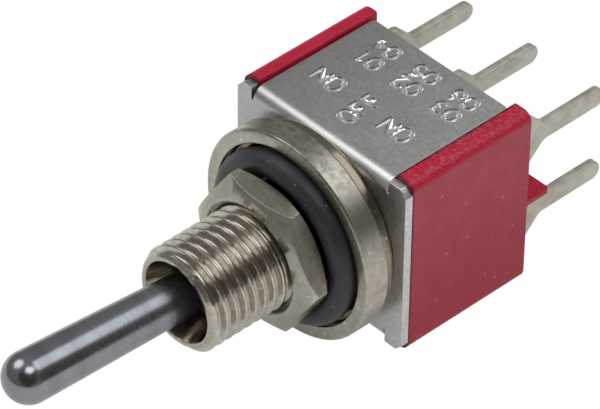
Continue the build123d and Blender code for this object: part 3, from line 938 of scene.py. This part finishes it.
# %% The rule for a spring
SPRING_TURNS = 4
SPRING_WIRE = 0.16 * MM
spring_rule = Rule("wind_spring", ["Coil radius", "Wire radius", "Rise"])
spiral_sockets = {
    "Resolution": 24,
    "Rotations": SPRING_TURNS,
    "Start Radius": spring_rule.inputs["Coil radius"],
    "End Radius": spring_rule.inputs["Coil radius"],
    "Height": spring_rule.inputs["Rise"],
}
spiral = spring_rule.node("GeometryNodeCurveSpiral", {}, spiral_sockets)
wire_section = circle(spring_rule, 10, spring_rule.inputs["Wire radius"])
spring_rule.finish_with(swept(spring_rule, spiral, wire_section, capped=True), wire)
print("nodes in the spring's rule:", len(spring_rule.node_tree.nodes))

# %% Wind both springs
backwards = Matrix.Rotation(LEAN, 3, "Z") @ Vector((0, 1, 0))
for row in ("upper", "lower"):
    node = f"plunger_spring_{row}"
    low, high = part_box(node)
    middle = (low + high) / 2
    reaches = [backwards.dot(vertex.co) for vertex in frame["nodes"][node].data.vertices]
    length = max(reaches) - min(reaches)
    rise = length - SPRING_WIRE
    coil_radius = (high.z - low.z - SPRING_WIRE) / 2
    spring_sizes = {"Coil radius": coil_radius, "Wire radius": SPRING_WIRE / 2, "Rise": rise}
    coil_spring = spring_rule.apply_to(mesh_object(f"coil_spring_{row}", bmesh.new()), spring_sizes)
    along_lever = Matrix.Rotation(LEAN, 4, "Z") @ Matrix.Rotation(-pi / 2, 4, "X")
    centred = Matrix.Translation((0, 0, -rise / 2))
    coil_spring.data.transform(Matrix.Translation(middle) @ along_lever @ centred)
    shade(coil_spring, 50)
    dress(coil_spring, node, wire)
    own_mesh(coil_spring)
    print(f"{coil_spring.name}: {length / MM:.2f} mm long at rest")

# %% [markdown]
# ## Stamped marks
#
# The top leg of the bracket carries marks struck with a punch. Here they are plain: ON, OFF and ON for the
# lever's places and numbers for the pins. Each sign is a few strokes. Geometry Nodes sweep a round tool along
# the strokes, and a Boolean cuts the swept tool out of the plate, so the grooves have round floors that
# catch the light as struck marks do.

# %% Strokes of each sign
def arc(centre_x, centre_y, wide, high, start, end, steps=12):
    """Points on part of an ellipse, angles in degrees from the right."""
    angles = (radians(start + (end - start) * step / steps) for step in range(steps + 1))
    return [(centre_x + wide * cos(a), centre_y + high * sin(a)) for a in angles]


SIGNS = {
    "O": [arc(0.36, 0.5, 0.36, 0.5, 0, 360, 20)],
    "N": [[(0, 0), (0, 1)], [(0, 1), (0.66, 0)], [(0.66, 0), (0.66, 1)]],
    "F": [[(0, 0), (0, 1)], [(0, 1), (0.6, 1)], [(0, 0.52), (0.5, 0.52)]],
    "1": [[(0.12, 0.76), (0.36, 1)], [(0.36, 1), (0.36, 0)]],
    "2": [arc(0.32, 0.72, 0.30, 0.28, 170, -40, 10) + [(0.02, 0)], [(0.02, 0), (0.64, 0)]],
    "3": [arc(0.30, 0.75, 0.28, 0.25, 150, -90, 10) + arc(0.30, 0.26, 0.32, 0.26, 90, -150, 12)[1:]],
    "4": [[(0.48, 0), (0.48, 1)], [(0.48, 1), (0, 0.32)], [(0, 0.32), (0.68, 0.32)]],
    "5": [[(0.58, 1), (0.08, 1)], [(0.08, 1), (0.06, 0.56)], arc(0.30, 0.32, 0.32, 0.32, 130, -150, 14)],
    "6": [[(0.52, 0.98), (0.2, 0.68), (0.04, 0.34)], arc(0.34, 0.30, 0.31, 0.30, 0, 360, 18)],
}
print("signs that can be struck:", " ".join(SIGNS))

# %% Lay out the marks
PLATE_TOP = 5.47
TOOL_RADIUS = 0.17
TOOL_LIFT = 0.055
SIGN_ADVANCE = 0.92
PIN_COLUMNS = (-2.05, 0.85, 3.75)
FRONT_ROW = 9.05
REAR_ROW = 10.40
NUMBER_HEIGHT = 1.00
# Each mark is a word, its start along X and Y, its turn in degrees and the height of its signs.
marks = [("ON", -2.15, 6.45, 180, 1.15), ("ON", 3.25, 6.15, 180, 1.15), ("OFF", 0.30, 4.15, 90, 1.05)]
for column, start_x in enumerate(PIN_COLUMNS, start=1):
    marks.append((f"O{column}", start_x, FRONT_ROW, 180, NUMBER_HEIGHT))
    marks.append((f"O{column + 3}", start_x, REAR_ROW, 180, NUMBER_HEIGHT))
strokes = bpy.data.curves.new("stamp_strokes", "CURVE")
strokes.dimensions = "3D"
for word, start_x, start_y, turned_by, height in marks:
    along = Vector((cos(radians(turned_by)), sin(radians(turned_by)), 0))
    upward = Vector((-along.y, along.x, 0))
    for index, sign in enumerate(word):
        corner = Vector((start_x, start_y, PLATE_TOP + TOOL_LIFT)) + along * index * height * SIGN_ADVANCE
        for stroke in SIGNS[sign]:
            spline = strokes.splines.new("POLY")
            spline.points.add(len(stroke) - 1)
            for point, (right, up) in zip(spline.points, stroke):
                spot = (corner + (along * right + upward * up) * height) * MM
                point.co = (*spot, 1)
stamp_strokes = bpy.data.objects.new("stamp_strokes", strokes)
bpy.context.collection.objects.link(stamp_strokes)
print("marks:", len(marks), "strokes:", len(strokes.splines))

# %% Strike the marks
stamp_rule = Rule("sweep_punch", ["Tool radius"])
drawn = {"Curve": stamp_rule.inputs["Geometry"]}
upright = stamp_rule.node("GeometryNodeSetCurveNormal", {"mode": "Z_UP"}, drawn)
round_tool = circle(stamp_rule, 12, stamp_rule.inputs["Tool radius"])
stamp_rule.finish_with(swept(stamp_rule, upright, round_tool, capped=True), bracket_steel)
punch_mesh = stamp_rule.apply_to(stamp_strokes, {"Tool radius": TOOL_RADIUS * MM})
stamped_bracket = eased_copy("bracket", "stamped_bracket", 0.04 * MM)
strike = stamped_bracket.modifiers.new("strike", "BOOLEAN")
strike.operation = "DIFFERENCE"
strike.solver = "EXACT"
strike.use_self = True
strike.object = punch_mesh
stamped_bracket = smooth_with_flats(flattened(stamped_bracket), 24)
bpy.data.objects.remove(punch_mesh)
dress(stamped_bracket, "bracket", bracket_steel)

# %% [markdown]
# ## Floor and light
#
# The switch lies on a white sweep, on the rim of its flange and the rear edge of its case, so the floor is
# turned a little against the frame. The photograph's background is plain white with no shadow. So the sweep
# lights the metal from below as paper does, and shows as plain white to the camera.

# %% Floor
FLANGE_REST = Vector((0, FLANGE_REAR - FLANGE_CHAMFER, -FLANGE_RADIUS)) * MM
CASE_REST = Vector((0, 11.57, -5.715)) * MM
FLOOR_RADIUS = 1.2
FLOOR_GAP = 0.01 * MM
up = Vector((1, 0, 0)).cross(CASE_REST - FLANGE_REST).normalized()
floor_shape = bmesh.new()
bmesh.ops.create_circle(floor_shape, cap_ends=True, segments=96, radius=FLOOR_RADIUS)
floor = mesh_object("white_floor", floor_shape)
floor_turn = Vector((0, 0, 1)).rotation_difference(up).to_matrix().to_4x4()
floor.data.transform(Matrix.Translation(FLANGE_REST - up * FLOOR_GAP) @ floor_turn)


def white_sweep_finish():
    glow_constants = {"Specular IOR Level": 0.0, "Emission Color": (1, 1, 1, 1), "Emission Strength": 0.25}
    finish = Finish("white_sweep", glow_constants)
    paper = finish.noise(finish.place, 3.0 * MM, 2.0)
    finish.feed(Base_Color=finish.mix(paper, (0.80, 0.80, 0.80, 1), (0.83, 0.83, 0.83, 1)))
    glow = finish.node("ShaderNodeEmission", {}, {"Color": (1, 1, 1, 1), "Strength": 1.0})
    seen = finish.node("ShaderNodeLightPath", {}, {}, "Is Camera Ray")
    surface = Value(finish, finish.surface.outputs[0])
    shown = finish.node("ShaderNodeMixShader", {}, {0: seen, 1: surface, 2: glow})
    finish.node_tree.links.new(shown.socket, finish.node_tree.nodes["Material Output"].inputs["Surface"])
    return finish.material


floor.data.materials.append(white_sweep_finish())
print("floor tilt:", round(up.angle(Vector((0, 0, 1))) * 180 / pi, 2), "degrees")

# %% [markdown]
# ### Lights
#
# The reflections tell where the lights stood. The glint on the lever's tip asks for a box nearly overhead,
# the band along the lever for one behind the switch, and the bright bend of the bracket for one on the left.
# The dark disc on the tip is the camera's own side of the room. So the room is dim there, and also low at the
# back on the right.

# %% Lights
def soft_box(name, direction, distance, size, radiance, colour):
    """An area light that looks at the switch from that direction, as bright as its radiance."""
    light = bpy.data.lights.new(name, "AREA")
    light.shape = "ELLIPSE"
    light.size, light.size_y = size
    light.energy = radiance * pi * (pi / 4) * size[0] * size[1]
    light.color = colour
    lamp = bpy.data.objects.new(name, light)
    aim = Vector(direction).normalized()
    lamp.location = Vector((0, 3 * MM, 0)) + aim * distance
    lamp.rotation_euler = aim.to_track_quat("Z", "Y").to_euler()
    bpy.context.collection.objects.link(lamp)


soft_box("overhead_box", (0.31, -0.20, 0.93), 0.50, (0.30, 0.24), radiance=2.6, colour=(0.96, 0.98, 1.0))
soft_box("rear_box", (0.25, 0.53, 0.81), 0.55, (0.44, 0.40), radiance=1.35, colour=(0.93, 0.96, 1.0))
soft_box("left_box", (-0.56, -0.28, 0.78), 0.60, (0.38, 0.38), radiance=1.8, colour=(1.0, 0.99, 0.97))

# %% World
LIT_WALL = (1.0, 0.985, 0.96, 1)
DIM_WALL = (0.20, 0.14, 0.10, 1)
world = bpy.data.worlds.new("room")
world.use_nodes = True
bpy.context.scene.world = world
room = Tree(world.node_tree)
view = room.node("ShaderNodeTexCoord", {}, {}, "Generated")


def lobe(direction, start, end):
    """1 towards a direction and 0 away from it; start and end are cosines."""
    aim = tuple(Vector(direction).normalized())
    dot = room.node("ShaderNodeVectorMath", {"operation": "DOT_PRODUCT"}, {0: view, 1: aim}, "Value")
    return dot.spread(start, end, 0.0, 1.0)


ambient = room.axes(view)[2].spread(0.0, 0.9, 0.24, 0.34)
camera_side = lobe(camera.location, 0.72, 0.82)
back_right = lobe((0.80, 0.52, 0.36), 0.86, 0.97)
dim_share = 1 - (1 - 0.86 * camera_side) * (1 - 0.72 * back_right)
tint = room.mix(dim_share, LIT_WALL, DIM_WALL)
background = world.node_tree.nodes["Background"]
world.node_tree.links.new(tint.socket, background.inputs["Color"])
world.node_tree.links.new(ambient.socket, background.inputs["Strength"])
bpy.context.scene.view_settings.view_transform = "Standard"
print("the room is ready")
